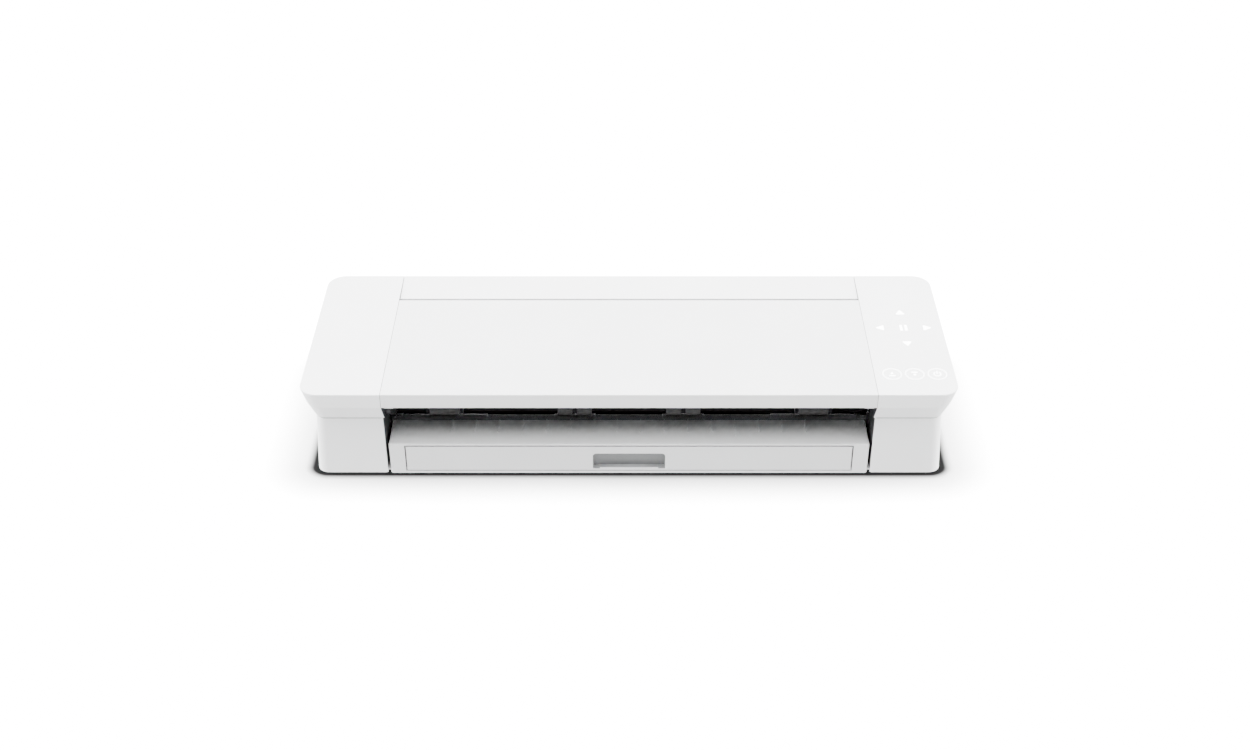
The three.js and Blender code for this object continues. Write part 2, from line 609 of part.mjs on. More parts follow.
function toolHolder(x) {
  const block = roundedBlock(x - 15.5, x + 15.5, -34.6, -14.4, 44, 75.6, 4, 0.8);
  const bore = rod('z', x, TOOL_Y, 0, 7.3, 40, 80);
  const hingePin = rod('z', x - 12, -36.6, 0, 1.4, 65, 73.4, 14);
  const hingeRelief = rod('z', x - 12, -36.6, 0, 3.4, 65.4, 72.8);
  const lug = box(x - 14.4, x - 9.6, -38.2, -33.6, 63.6, 65.5);
  return join(cut(block, bore, hingeRelief), lug, hingePin);
}
add('tool_holder_a', toolHolder(TOOL_XS.a), 'inner');
add('tool_holder_b', toolHolder(TOOL_XS.b), 'inner');

function toolLock(x) {
  const eye = ring('z', x - 12, -36.6, 0, 1.7, 3, 66, 72, 16);
  const blade = cut(box(x - 12, x + 13, -38.2, -35.1, 66, 72), rod('z', x - 12, -36.6, 0, 2.4, 60, 80, 16));
  const tab = box(x + 10, x + 15, -39.4, -35.1, 66, 72);
  return join(eye, blade, tab);
}
add('tool_lock_a', toolLock(TOOL_XS.a), 'blue');
add('tool_lock_b', toolLock(TOOL_XS.b), 'blue');

const bladeProfile = [
  [0, 38.9], [0.5, 38.9], [0.9, 41.5], [4.6, 42], [5.6, 43.2], [7, 44], [7, 75.9], [9, 75.9],
  [9, 77.4], [8.4, 78.4], [0, 78.4],
];
add('blade_tool', turned('z', TOOL_XS.a, TOOL_Y, 0, bladeProfile), 'dark');
const blankProfile = [
  [0, 45], [6.4, 45], [7, 45.6], [7, 75.9], [9, 75.9], [9, 77.4], [8.4, 78.4], [0, 78.4],
];
add('tool_blank', turned('z', TOOL_XS.b, TOOL_Y, 0, blankProfile), 'grey');

// ---- carriage drive -----------------------------------------------------------------------------
function carriagePulley(x, core, shaftEnd) {
  const r = PULLEY_R;
  const profile = [[core, 23.6], [r + 1.2, 23.6], [r + 1.2, 24.4], [r, 24.4], [r, 31.2], [r + 1.2, 31.2]];
  profile.push([r + 1.2, 32], ...(core ? [[core, 32]] : [[2.5, 32], [2.5, shaftEnd], [0, shaftEnd]]));
  return turned('y', x, 0, BELT_Z, profile);
}
add('drive_pulley', carriagePulley(PULLEY_X, 0, 41.5), 'steel');
add('idler_pulley', carriagePulley(-PULLEY_X, 2.4, 0), 'dark');

function idlerBracket() {
  const x = -PULLEY_X;
  const rear = box(x - 8, -219.2, 33, 35, 52, 68);
  const web = box(-221.2, -219.2, 33, 46, 52, 68);
  const pin = rod('y', x, 0, BELT_Z, 2.1, 20.6, 34, 16);
  const head = rod('y', x, 0, BELT_Z, 4, 20.6, 22.6, 16);
  return join(rear, web, pin, head);
}
add('idler_bracket', idlerBracket(), 'steel');

function carriageBelt() {
  const loop = (r) => beltOutline(-PULLEY_X, BELT_Z, r, PULLEY_X, BELT_Z, r);
  const section = (y0, y1, outline) => {
    const shape = new THREE.Shape(outline.map(([x, z]) => new THREE.Vector2(x, z)));
    const geometry = new THREE.ExtrudeGeometry(shape, { depth: y1 - y0, bevelEnabled: false });
    return solid(geometry.rotateX(Math.PI / 2).translate(0, y1, 0));
  };
  const outer = section(BELT_Y[0], BELT_Y[1], loop(PULLEY_R + 1.6));
  return cut(outer, section(BELT_Y[0] - 1, BELT_Y[1] + 1, loop(PULLEY_R + GAP)));
}
add('carriage_belt', carriageBelt(), 'rubber');

function carriageMotor() {
  const can = roundedBlock(-17.5, 17.5, -17.5, 17.5, 36, 66, 4, 0.8).rotate([-90, 0, 0]);
  const bore = rod('y', PULLEY_X, 0, BELT_Z, 2.8, 30, 42);
  return cut(can.translate([PULLEY_X, 0, BELT_Z]), bore);
}
add('carriage_motor', carriageMotor(), 'steel');

// ---- drawer with the roll feeder ----------------------------------------------------------------
function drawerFront() {
  const [z0, z1] = DRAWER_Z;
  const panel = box(-DRAWER_X, DRAWER_X, -BODY_Y, -82, z0, z1);
  const pocket = box(-POCKET_X - 1.7, POCKET_X + 1.7, -83, POCKET_REAR, z0 + 0.6, 24.2);
  const scoop = alongX(-POCKET_X, POCKET_X, [
    [-BODY_Y - 1, 5.8], [-77.6, 5.2], [-79.2, 22.5], [-BODY_Y - 1, 22.5],
  ]);
  const arch = plan(-POCKET_X, POCKET_X, -22.5, 20, [3, 3, 3, 3], 4);
  const mouth = loft([{ z: -BODY_Y - 2, outline: arch }, { z: -70, outline: arch }]).rotate([-90, 0, 0]);
  const disc = rod('z', 0, LIP_BULGE - BODY_Y - LIP_R, 0, LIP_R, z0 + 0.8, 7, 240);
  const lip = disc.intersect(box(-POCKET_X - 0.5, POCKET_X + 0.5, -BODY_Y, -80, z0, 8));
  return join(cut(join(panel, pocket), scoop.intersect(mouth)), lip);
}
add('drawer_front', drawerFront(), 'shell');

function drawerTray() {
  const [y0, y1] = TRAY_Y;
  const [z0, z1] = TRAY_Z;
  const outer = box(-TRAY_X, TRAY_X, y0, y1, z0, z1);
  const hollow = box(-TRAY_X + 1.8, TRAY_X - 1.8, y0 + 1.8, y1 - 1.8, z0 + 1.8, z1 + 1);
  const keep = box(-POCKET_X - 4.2, POCKET_X + 4.2, y0 - 1, POCKET_REAR + 2.2, z0, z1);
  const clear = box(-POCKET_X - 2.4, POCKET_X + 2.4, y0 - 1, POCKET_REAR + 0.5, z0 - 1, z1 + 1);
  const posts = [];
  for (const side of [-1, 1]) {
    const x = side * 177.6;
    const wall = box(x - 1.6, x + 1.6, -59, -15, z0 + 1, 18.6);
    posts.push(wall);
  }
  const bearings = FEED_Y.map((y) => rod('x', 0, y, FEED_Z, 2.4, -185, 185, 16));
  const walled = cut(outer, cut(hollow, keep), clear);
  return cut(join(walled, ...posts), ...bearings);
}
add('drawer_tray', drawerTray(), 'inner');

FEED_Y.forEach((y, index) => {
  const profile = [
    [0, -178.6], [2, -178.6], [2, -175.4], [FEED_R, -175.4], [FEED_R, 175.4], [2, 175.4],
    [2, 178.6], [0, 178.6],
  ];
  add(`feed_roller_${index ? 'rear' : 'front'}`, turned('x', 0, y, FEED_Z, profile), 'grey');
});

function rollGuide(x) {
  const plate = box(x - 2, x + 2, -60, -14, 6.8, 21);
  const sole = box(x - 7, x + 7, -46, -28, 6.8, 8.6);
  const seat = FEED_Y.map((y) => rod('x', x, y, FEED_Z, FEED_R + 0.4, -10, 10));
  const saddle = rod('x', x, (FEED_Y[0] + FEED_Y[1]) / 2, 27, 11, -10, 10);
  return cut(join(plate, sole), ...seat, saddle);
}
add('roll_guide_left', rollGuide(-150), 'blue');
add('roll_guide_right', rollGuide(150), 'blue');

// ---- electronics --------------------------------------------------------------------------------
function mainBoard() {
  const board = box(BOARD_X[0], BOARD_X[1], BOARD_Y[0], BOARD_Y[1], 8.3, 9.9);
  const chips = [
    box(50, 72, 30, 52, 9.5, 11.6), box(86, 100, 34, 48, 9.5, 11.2), box(116, 140, 60, 70, 9.5, 17),
    box(152, 180, 24, 33, 9.5, 16), box(50, 68, 64, 70, 9.5, 15),
  ];
  const cans = [[110, 30], [124, 30], [138, 30]].map(([x, y]) => rod('z', x, y, 0, 4, 9.5, 19, 16));
  return join(board, ...chips, ...cans);
}
add('main_board', mainBoard(), 'board');

function touchBoard() {
  const board = box(228, 271, -76, 46, 90.4, 91.9);
  const posts = [[233, -70], [266, -70], [233, 40], [266, 40]];
  const holes = posts.map(([x, y]) => rod('z', x, y, 0, 1.7, 88, 94, 12));
  const plug = box(240, 256, 28, 36, 85, 91);
  return cut(join(board, plug), ...holes);
}
add('touch_board', touchBoard(), 'board');

function powerJack() {
  const body = box(JACK_X - 5.6, JACK_X + 5.6, 66, 81.6, SOCKET_Z - 6, SOCKET_Z + 6);
  const collar = rod('y', JACK_X, 0, SOCKET_Z, 5, 80, BODY_Y - 0.3);
  const bore = rod('y', JACK_X, 0, SOCKET_Z, 3.2, 73, 86);
  return cut(join(body, collar), bore);
}
add('power_jack', powerJack(), 'dark');

function usbSocket() {
  const shell = box(USB_X - 6.2, USB_X + 6.2, 67, BODY_Y - 0.3, SOCKET_Z - 5.6, SOCKET_Z + 5.6);
  const mouth = box(USB_X - 4.4, USB_X + 4.4, 73, 86, SOCKET_Z - 4.1, SOCKET_Z + 4.1);
  return cut(shell, mouth);
}
add('usb_socket', usbSocket(), 'steel');

export default group;
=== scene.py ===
import json
import math

import bmesh
import bpy
from mathutils import Matrix, Vector


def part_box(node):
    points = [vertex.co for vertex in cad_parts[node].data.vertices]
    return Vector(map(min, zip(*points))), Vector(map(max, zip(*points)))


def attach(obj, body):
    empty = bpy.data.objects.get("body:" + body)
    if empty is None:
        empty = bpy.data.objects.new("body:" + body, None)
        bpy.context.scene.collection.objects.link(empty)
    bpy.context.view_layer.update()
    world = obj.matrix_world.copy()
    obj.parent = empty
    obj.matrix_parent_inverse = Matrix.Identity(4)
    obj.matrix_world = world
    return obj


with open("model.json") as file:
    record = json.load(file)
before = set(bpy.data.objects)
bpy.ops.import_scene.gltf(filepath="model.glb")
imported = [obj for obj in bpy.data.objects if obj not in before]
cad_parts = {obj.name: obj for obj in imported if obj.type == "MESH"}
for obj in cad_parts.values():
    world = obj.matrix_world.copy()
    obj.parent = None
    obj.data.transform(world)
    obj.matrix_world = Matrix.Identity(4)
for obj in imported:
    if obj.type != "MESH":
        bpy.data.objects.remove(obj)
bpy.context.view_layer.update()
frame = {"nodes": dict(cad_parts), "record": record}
NODES = frame["nodes"]

# Overall size, taken from the frame's own pieces.
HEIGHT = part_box("right_end_housing")[1].z
FOOT_LOW, FOOT_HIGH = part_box("right_side_cover")
PILLAR_X = FOOT_LOW.x
PILLAR_SKIN = 0.004  # inner faces of a pillar lie within this of its inner side
COVER_TOP = FOOT_HIGH.z
FOOT_CORNER = 0.01  # radius of the body's upright corners
BAND_DEPTH = 0.0137  # height of the straight upper band
PLATE_Z = HEIGHT - BAND_DEPTH
DRAWER_LOW, DRAWER_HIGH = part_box("drawer_front")
DOORWAY_DEPTH = 0.003
DOORWAY_GAP_X = 0.0012
DOORWAY_GAP_Z = 0.001
RECESS_X = 0.0325  # half width of the finger recess
RECESS_Z = (0.0051, 0.0226)  # its walls lie between these heights

# How closely a face must point along an axis to count as facing that way, and how far two
# places may differ and still be the same.
SQUARE_ON = 0.9
ROUGHLY = 0.5
SAME_PLACE = 0.0002
UNDER_LID_DEPTH = 0.013  # inside faces of the lid lie within this of the top
FLUSH = 0.0001

# Studio: strength of the softbox overhead, of the fills at each side and of the bounce from below.
OVERHEAD = 8.9
OVERHEAD_REST = 0.05  # what is left of it in front of the softbox
OVERHEAD_EDGE = (math.radians(45), math.radians(55))
SIDE_FILL = 34.0
SIDE_FILL_X = (0.55, 0.8)  # each fill grows over this range of sideways direction
SIDE_FILL_Y = (-0.34, -0.12)  # and over this range from front to back, so none comes from the front
SIDE_FILL_Z = (0.15, 0.4)  # and fades out over this range of height
FLOOR_BOUNCE = 2.95
HORIZON = 0.02

# Floor: its own tone, the painted contact shadow under the machine and the glow that starts beyond it;
# the glow is kept low near the machine, which paints a soft shadow round it.
FLOOR_REACH = 6.0
FLOOR_DROP = -0.00005
FLOOR_SHADE = 0.9
FLOOR_PAINTED_SHADOW_DARKEST = 0.01
FLOOR_PAINTED_SHADOW_RIM = (0.0015, 0.0098)
FLOOR_GLOW = 14.0
FLOOR_GLOW_FROM = 0.0035
FLOOR_GLOW_WIDTH = 0.054
SIDE_SHADOW_PACE = 0.8  # share of the real distance that counts beside the machine, widening the painted shadow there

# Camera: in front of the machine, above it and looking down.
LENS = 48.02
SENSOR = 36.0
LENS_SHIFT = -0.0032
CAMERA_Y = -1.2583
CAMERA_ABOVE = 0.8353
CAMERA_TILT = 35.05  # degrees below level


# ---- materials ------------------------------------------------------------------------------
def new_material(name, color, roughness, metallic=0.0, specular=0.5):
    material = bpy.data.materials.new(name)
    material.use_nodes = True
    material.diffuse_color = (*color, 1.0)
    shader = material.node_tree.nodes["Principled BSDF"]
    shader.inputs["Base Color"].default_value = (*color, 1.0)
    shader.inputs["Roughness"].default_value = roughness
    shader.inputs["Metallic"].default_value = metallic
    shader.inputs["Specular IOR Level"].default_value = specular
    return material, material.node_tree, shader


def noise(tree, scale, detail=4.0, stretch=(1.0, 1.0, 1.0), roughness=0.55):
    coords = tree.nodes.new("ShaderNodeTexCoord")
    mapping = tree.nodes.new("ShaderNodeMapping")
    mapping.inputs["Scale"].default_value = stretch
    texture = tree.nodes.new("ShaderNodeTexNoise")
    texture.inputs["Scale"].default_value = scale
    texture.inputs["Detail"].default_value = detail
    texture.inputs["Roughness"].default_value = roughness
    tree.links.new(coords.outputs["Object"], mapping.inputs["Vector"])
    tree.links.new(mapping.outputs["Vector"], texture.inputs["Vector"])
    return texture.outputs["Fac"]


def spread(tree, value, low, high):
    node = tree.nodes.new("ShaderNodeMapRange")
    node.inputs["From Min"].default_value = 0.25
    node.inputs["From Max"].default_value = 0.75
    node.inputs["To Min"].default_value = low
    node.inputs["To Max"].default_value = high
    tree.links.new(value, node.inputs["Value"])
    return node.outputs["Result"]


def tint(tree, shader, value, dark, light):
    ramp = tree.nodes.new("ShaderNodeValToRGB")
    ramp.color_ramp.elements[0].position = 0.3
    ramp.color_ramp.elements[0].color = (*dark, 1.0)
    ramp.color_ramp.elements[1].position = 0.7
    ramp.color_ramp.elements[1].color = (*light, 1.0)
    tree.links.new(value, ramp.inputs["Fac"])
    tree.links.new(ramp.outputs["Color"], shader.inputs["Base Color"])


def bump(tree, shader, value, strength, distance):
    node = tree.nodes.new("ShaderNodeBump")
    node.inputs["Strength"].default_value = strength
    node.inputs["Distance"].default_value = distance
    tree.links.new(value, node.inputs["Height"])
    tree.links.new(node.outputs["Normal"], shader.inputs["Normal"])


def moulded_plastic(name, color, roughness, grain=2600.0, depth=0.25, sheen=0.03):
    """Injection-moulded plastic: fine spark-eroded grain, faint mottling and uneven gloss."""
    material, tree, shader = new_material(name, color, roughness)
    mottle = noise(tree, 14.0, 3.0)
    dark = tuple(c * (1.0 - sheen) for c in color)
    light = tuple(min(1.0, c * (1.0 + sheen * 0.5)) for c in color)
    tint(tree, shader, mottle, dark, light)
    tree.links.new(
        spread(tree, noise(tree, 45.0, 4.0), roughness - 0.05, roughness + 0.06),
        shader.inputs["Roughness"],
    )
    bump(tree, shader, noise(tree, grain, 2.0), depth, 0.00006)
    return material


def brushed_metal(name, color, roughness, stretch=(1.0, 40.0, 40.0), depth=0.2):
    """Metal with fine lines along one axis and a slightly cloudy finish."""
    material, tree, shader = new_material(name, color, roughness, 1.0)
    lines = noise(tree, 90.0, 5.0, stretch)
    tree.links.new(
        spread(tree, lines, roughness - 0.08, roughness + 0.12), shader.inputs["Roughness"]
    )
    dark = tuple(c * 0.86 for c in color)
    tint(tree, shader, noise(tree, 60.0, 3.0), dark, color)
    bump(tree, shader, lines, depth, 0.00004)
    return material


def gritted_steel(name):
    """Turned steel with a coarse ground-in grit."""
    color = (0.3, 0.3, 0.31)
    material, tree, shader = new_material(name, color, 0.6, 0.9)
    speckle = noise(tree, 4200.0, 2.0)
    tint(tree, shader, speckle, (0.16, 0.16, 0.165), (0.5, 0.5, 0.51))
    bump(tree, shader, speckle, 0.8, 0.00012)
    return material


def rubber(name, color, roughness=0.8):
    material, tree, shader = new_material(name, color, roughness, 0.0, 0.3)
    tint(tree, shader, noise(tree, 300.0, 4.0), tuple(c * 0.8 for c in color), color)
    tree.links.new(
        spread(tree, noise(tree, 160.0), roughness - 0.1, roughness + 0.08),
        shader.inputs["Roughness"],
    )
    bump(tree, shader, noise(tree, 1800.0), 0.4, 0.00008)
    return material


def board_green(name):
    """Solder resist over copper: dark green with a fine weave and lighter traces."""
    color = (0.02, 0.13, 0.07)
    material, tree, shader = new_material(name, color, 0.35)
    tint(tree, shader, noise(tree, 220.0, 1.0, (1.0, 6.0, 1.0)), (0.014, 0.1, 0.05), (0.03, 0.19, 0.1))
    bump(tree, shader, noise(tree, 900.0, 2.0, (1.0, 6.0, 1.0)), 0.3, 0.00005)
    return material


MATERIALS = {
    "shell_white": moulded_plastic("shell_white", (0.80, 0.805, 0.81), 0.42),
    "lid_white": moulded_plastic("lid_white", (0.705, 0.71, 0.715), 0.46, 2200.0),
    # apron_white is a darker copy of the white shell plastic: painted shade for the shadow under the
    # lid's lip on the apron and drawer front.
    "apron_white": moulded_plastic("apron_white", (0.643, 0.648, 0.653), 0.44),
    "inner_white": moulded_plastic("inner_white", (0.62, 0.625, 0.63), 0.5, 1800.0),
    "dark_plastic": moulded_plastic("dark_plastic", (0.018, 0.019, 0.021), 0.5, 1500.0, 0.35, 0.2),
    "grey_plastic": moulded_plastic("grey_plastic", (0.23, 0.235, 0.24), 0.5, 1600.0),
    "accent_plastic": moulded_plastic("accent_plastic", (0.11, 0.19, 0.26), 0.42, 1800.0),
    "frame_steel": brushed_metal("frame_steel", (0.55, 0.56, 0.57), 0.38),
    "rail_aluminium": brushed_metal("rail_aluminium", (0.68, 0.69, 0.7), 0.3),
    "grit_steel": gritted_steel("grit_steel"),
    "grey_rubber": rubber("grey_rubber", (0.17, 0.172, 0.176), 0.7),
    "black_rubber": rubber("black_rubber", (0.02, 0.02, 0.021)),
    "board_green": board_green("board_green"),
}

SLOTS = {row["node"]: row["material_slot"] for row in frame["record"]["subparts"]}


# ---- dressing of the frame's own pieces -------------------------------------------------------
def paint(obj, material):
    obj.data.materials.clear()
    obj.data.materials.append(material)


def soften(obj, width=0.0003, segments=2, angle=28.0):
    """Rounds the hard edges of a faceted piece and shades its curves smoothly."""
    for polygon in obj.data.polygons:
        polygon.use_smooth = True
    weld = obj.modifiers.new("weld", "WELD")
    weld.merge_threshold = 0.00001
    flat = obj.modifiers.new("flat", "DECIMATE")
    flat.decimate_type = "DISSOLVE"
    flat.angle_limit = math.radians(0.6)
    edge = obj.modifiers.new("edge", "BEVEL")
    edge.width = width
    edge.segments = segments
    edge.limit_method = "ANGLE"
    edge.angle_limit = math.radians(angle)
    edge.use_clamp_overlap = True
    normals = obj.modifiers.new("normals", "WEIGHTED_NORMAL")
    normals.keep_sharp = True
    normals.weight = 80


def dress_frame_pieces():
    for name, obj in NODES.items():
        soften(obj)
        paint(obj, MATERIALS[SLOTS[name]])


def face_finish(name, slot, chosen):
    """Gives the faces of a frame piece that a test picks out another of the record's finishes."""
    obj = NODES[name]
    obj.data.materials.append(MATERIALS[slot])
    index = len(obj.data.materials) - 1
    for polygon in obj.data.polygons:
        if chosen(polygon.center, polygon.normal):
            polygon.material_index = index


def under_lid(at, out):
    """Underside of the lid's skin and the back of its front lip, which get the dark finish as painted
    shade under the lid.
    """
    return at.z > HEIGHT - UNDER_LID_DEPTH and (out.z < -ROUGHLY or (out.y > ROUGHLY and at.y < 0.0))


def facing_slot(at, out):
    """Inner sides of the pillars, and the ledge at the top of the covers below the end housings; they
    get the dark finish as painted shade in the slot and in the groove under the housings.
    """
    sideways = abs(out.x) > SQUARE_ON and out.x * at.x < 0
    towards_middle = sideways and abs(at.x) < PILLAR_X + PILLAR_SKIN and at.z < PLATE_Z
    ledge = abs(at.z - COVER_TOP) < SAME_PLACE and out.z > SQUARE_ON
    return towards_middle or ledge


def round_doorway(at, out):
    """Edges of the opening that the drawer front fills; they get the dark finish as painted shade in the
    gap round the drawer.
    """
    if at.y > FOOT_LOW.y + DOORWAY_DEPTH or abs(out.y) > ROUGHLY:
        return False
    beside = abs(at.x) < DRAWER_HIGH.x + DOORWAY_GAP_X
    return beside and DRAWER_LOW.z - DOORWAY_GAP_Z < at.z < DRAWER_HIGH.z + DOORWAY_GAP_Z


def drawer_rim(at, out):
    """Narrow faces round the edge of the drawer front; they get the dark finish as painted shade in the
    gap round the drawer.
    """
    rim_x = abs(at.x) > DRAWER_HIGH.x - FLUSH and abs(out.x) > ROUGHLY
    rim_z = (at.z > DRAWER_HIGH.z - FLUSH or at.z < DRAWER_LOW.z + FLUSH) and abs(out.z) > ROUGHLY
    return rim_x or rim_z


def in_recess(at, out):
    """Walls of the finger recess, not the back of the drawer front; they get the grey finish as painted
    shade in the recess.
    """
    deeper = at.y > DRAWER_LOW.y + SAME_PLACE
    return deeper and abs(at.x) < RECESS_X and RECESS_Z[0] < at.z < RECESS_Z[1] and not out.y > ROUGHLY


def rear_seam(at, out):
    """Front edge of the strip behind the lid; it gets the grey finish as painted shade in the seam."""
    return out.y < -ROUGHLY and at.z > PLATE_Z


def side_seam(at, out):
    """Edge of an end housing that faces the lid; it gets the grey finish as painted shade in the seam.
    """
    inward = abs(out.x) > SQUARE_ON and at.x * out.x < 0
    return inward and abs(at.x) < PILLAR_X and at.z > PLATE_Z


def paint_shade_on_hidden_faces():
    # Painted shade: dark and grey finishes on faces of the white parts that sit in shade under the lid,
    # in the slot, round the drawer, in the finger recess and in the seams.
    face_finish("lid", "dark_plastic", under_lid)
    for side in ("left", "right"):
        face_finish(f"{side}_side_cover", "dark_plastic", facing_slot)
        face_finish(f"{side}_end_housing", "dark_plastic", facing_slot)
        face_finish(f"{side}_end_housing", "grey_plastic", side_seam)
    face_finish("rear_top_strip", "grey_plastic", rear_seam)
    face_finish("media_apron", "dark_plastic", round_doorway)
    face_finish("drawer_front", "dark_plastic", drawer_rim)
    face_finish("drawer_front", "grey_plastic", in_recess)


dress_frame_pieces()
paint_shade_on_hidden_faces()


# ---- pieces that the frame leaves to this script ------------------------------------------------
def make_piece(name, verts, faces, material, body, smooth_angle=None):
    """New mesh object in the frame's metres, with a finish, riding on a body."""
    mesh = bpy.data.meshes.new(name)
    mesh.from_pydata([tuple(v) for v in verts], [], faces)
    mesh.validate()
    bm = bmesh.new()
    bm.from_mesh(mesh)
    bmesh.ops.recalc_face_normals(bm, faces=bm.faces)
    bm.to_mesh(mesh)
    bm.free()
    obj = bpy.data.objects.new(name, mesh)
    bpy.context.scene.collection.objects.link(obj)
    paint(obj, material)
    if smooth_angle is not None:
        mesh.shade_smooth()
        mesh.set_sharp_from_angle(angle=math.radians(smooth_angle))
    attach(obj, body)
    return obj


class Shape:
    """Vertices and faces gathered from several closed bodies."""

    def __init__(self):
        self.verts = []
        self.faces = []

    def add(self, verts, faces):
        start = len(self.verts)
        self.verts.extend(verts)
        self.faces.extend([[start + i for i in face] for face in faces])

    def prism(self, outline, low, high, place=None):
        """Closed prism over an outline of (x, y), between two heights."""
        count = len(outline)
        verts = [Vector((x, y, low)) for x, y in outline] + [Vector((x, y, high)) for x, y in outline]
        faces = [list(range(count))[::-1], list(range(count, 2 * count))]
        for i in range(count):
            j = (i + 1) % count
            faces.append([i, j, count + j, count + i])
        self.add([place @ v if place else v for v in verts], faces)

    def band(self, outer, inner, low, high, place=None):
        """Closed prism between two outlines with the same number of points."""
        count = len(outer)
        verts = []
        for height in (low, high):
            verts += [Vector((x, y, height)) for x, y in outer]
            verts += [Vector((x, y, height)) for x, y in inner]
        faces = []
        for i in range(count):
            j = (i + 1) % count
            o, n = 2 * count, 3 * count
            faces.append([i, count + i, count + j, j])
            faces.append([o + i, o + j, n + j, n + i])
            faces.append([i, j, o + j, o + i])
            faces.append([count + i, n + i, n + j, count + j])
        self.add([place @ v if place else v for v in verts], faces)

    def turned(self, profile, segments=32, place=None):
        """Closed solid of revolution about Z: profile of (radius, height) from axis to axis."""
        rings = profile[1:-1]
        verts = [Vector((0, 0, profile[0][1]))]
        for radius, height in rings:
            for i in range(segments):
                turn = 2 * math.pi * i / segments
                verts.append(Vector((radius * math.cos(turn), radius * math.sin(turn), height)))
        verts.append(Vector((0, 0, profile[-1][1])))
        faces = []
        for i in range(segments):
            j = (i + 1) % segments
            faces.append([0, 1 + j, 1 + i])
            for k in range(len(rings) - 1):
                a, b = 1 + k * segments, 1 + (k + 1) * segments
                faces.append([a + i, a + j, b + j, b + i])
            last = 1 + (len(rings) - 1) * segments
            faces.append([last + i, last + j, len(verts) - 1])
        self.add([place @ v if place else v for v in verts], faces)

    def piece(self, name, slot, body, material=None, smooth_angle=35.0):
        finish = material or MATERIALS[slot]
        return make_piece(name, self.verts, self.faces, finish, body, smooth_angle)


def circle(x, y, radius, count=48, start=0.0, sweep=2 * math.pi):
    closed = abs(sweep - 2 * math.pi) < 1e-9
    steps = count if closed else count - 1
    turns = [start + sweep * i / steps for i in range(count)]
    return [(x + radius * math.cos(turn), y + radius * math.sin(turn)) for turn in turns]


def rectangle(x, y, half_x, half_y):
    left, right = x - half_x, x + half_x
    low, high = y - half_y, y + half_y
    return [(left, low), (right, low), (right, high), (left, high)]


def rounded_polygon(corners, radius, steps=4):
    """Outline whose corners are rounded by short curves."""
    outline = []
    count = len(corners)
    for i in range(count):
        here = Vector(corners[i])
        before = (Vector(corners[i - 1]) - here).normalized() * radius
        after = (Vector(corners[(i + 1) % count]) - here).normalized() * radius
        for k in range(steps + 1):
            t = k / steps
            point = here + before * (1 - t) ** 2 + after * t ** 2
            outline.append((point.x, point.y))
    return outline


# ---- touch controls -----------------------------------------------------------------------------
MARK_RISE = 0.00009  # the marks stand this proud of the housing
MARK_SINK = 0.0002  # and reach this far into it
PAD = (0.2495, 0.0072)  # middle of the four arrows
PAD_STEP_X = 0.0205
PAD_STEP_Y = 0.0248
ARROW_SIZE = 0.0052
ARROW_ROUND = 0.0018
PAUSE_STEP = 0.0022
PAUSE_BAR = (0.0012, 0.0046)
RING_Y = -0.066
RING_STEP = 0.0198
RING_R = 0.0083
RING_WIDTH = 0.0005
POWER_R = 0.003
POWER_WIDTH = 0.0009
POWER_STEM_Y = 0.0022
POWER_STEM = (0.00045, 0.0021)
SHEET_ARROW = 0.0021
SHEET_ARROW_Y = 0.001
SHEET_BAR_Y = 0.0026
SHEET_BAR = (0.0027, 0.0007)


def backlit_white():
    """Printed symbol with light behind it, a little uneven across its width."""
    material, tree, shader = new_material("backlit_white", (0.86, 0.865, 0.87), 0.35)
    shader.inputs["Emission Color"].default_value = (1.0, 1.0, 1.0, 1.0)
    glow = spread(tree, noise(tree, 260.0, 2.0), 7.0, 10.0)
    tree.links.new(glow, shader.inputs["Emission Strength"])
    bump(tree, shader, noise(tree, 2600.0, 2.0), 0.15, 0.00004)
    return material


def flat_mark(name, material, outlines=(), bands=()):
    shape = Shape()
    for outline in outlines:
        shape.prism(outline, HEIGHT - MARK_SINK, HEIGHT + MARK_RISE)
    for outer, inner in bands:
        shape.band(outer, inner, HEIGHT - MARK_SINK, HEIGHT + MARK_RISE)
    return shape.piece(name, "shell_white", "chassis", material, None)


def bar(x, y, half_x, half_y, radius=0.0005):
    return rounded_polygon(rectangle(x, y, half_x, half_y), radius, 3)


def arrow(x, y, turn, size=ARROW_SIZE):
    corners = []
    for i in range(3):
        angle = turn + i * 2 * math.pi / 3
        corners.append((x + size * math.cos(angle), y + size * math.sin(angle)))
    return rounded_polygon(corners, ARROW_ROUND)


def open_ring(x, y, radius, width, start, sweep):
    outer = circle(x, y, radius + width / 2, 28, start, sweep)
    inner = circle(x, y, radius - width / 2, 28, start, sweep)
    return outer + inner[::-1]


def power_glyph(x):
    """Open ring with a short stem through its gap."""
    arc = open_ring(x, RING_Y, POWER_R, POWER_WIDTH, math.radians(120), math.radians(300))
    return [arc, bar(x, RING_Y + POWER_STEM_Y, *POWER_STEM, 0.0002)]


def sheet_glyph(x, way):
    """Arrow with a bar at its foot: up to load a sheet, down to unload it."""
    foot = bar(x, RING_Y - SHEET_BAR_Y * way, *SHEET_BAR)
    head = arrow(x, RING_Y + SHEET_ARROW_Y * way, way * math.pi / 2, SHEET_ARROW)
    return [foot, head]


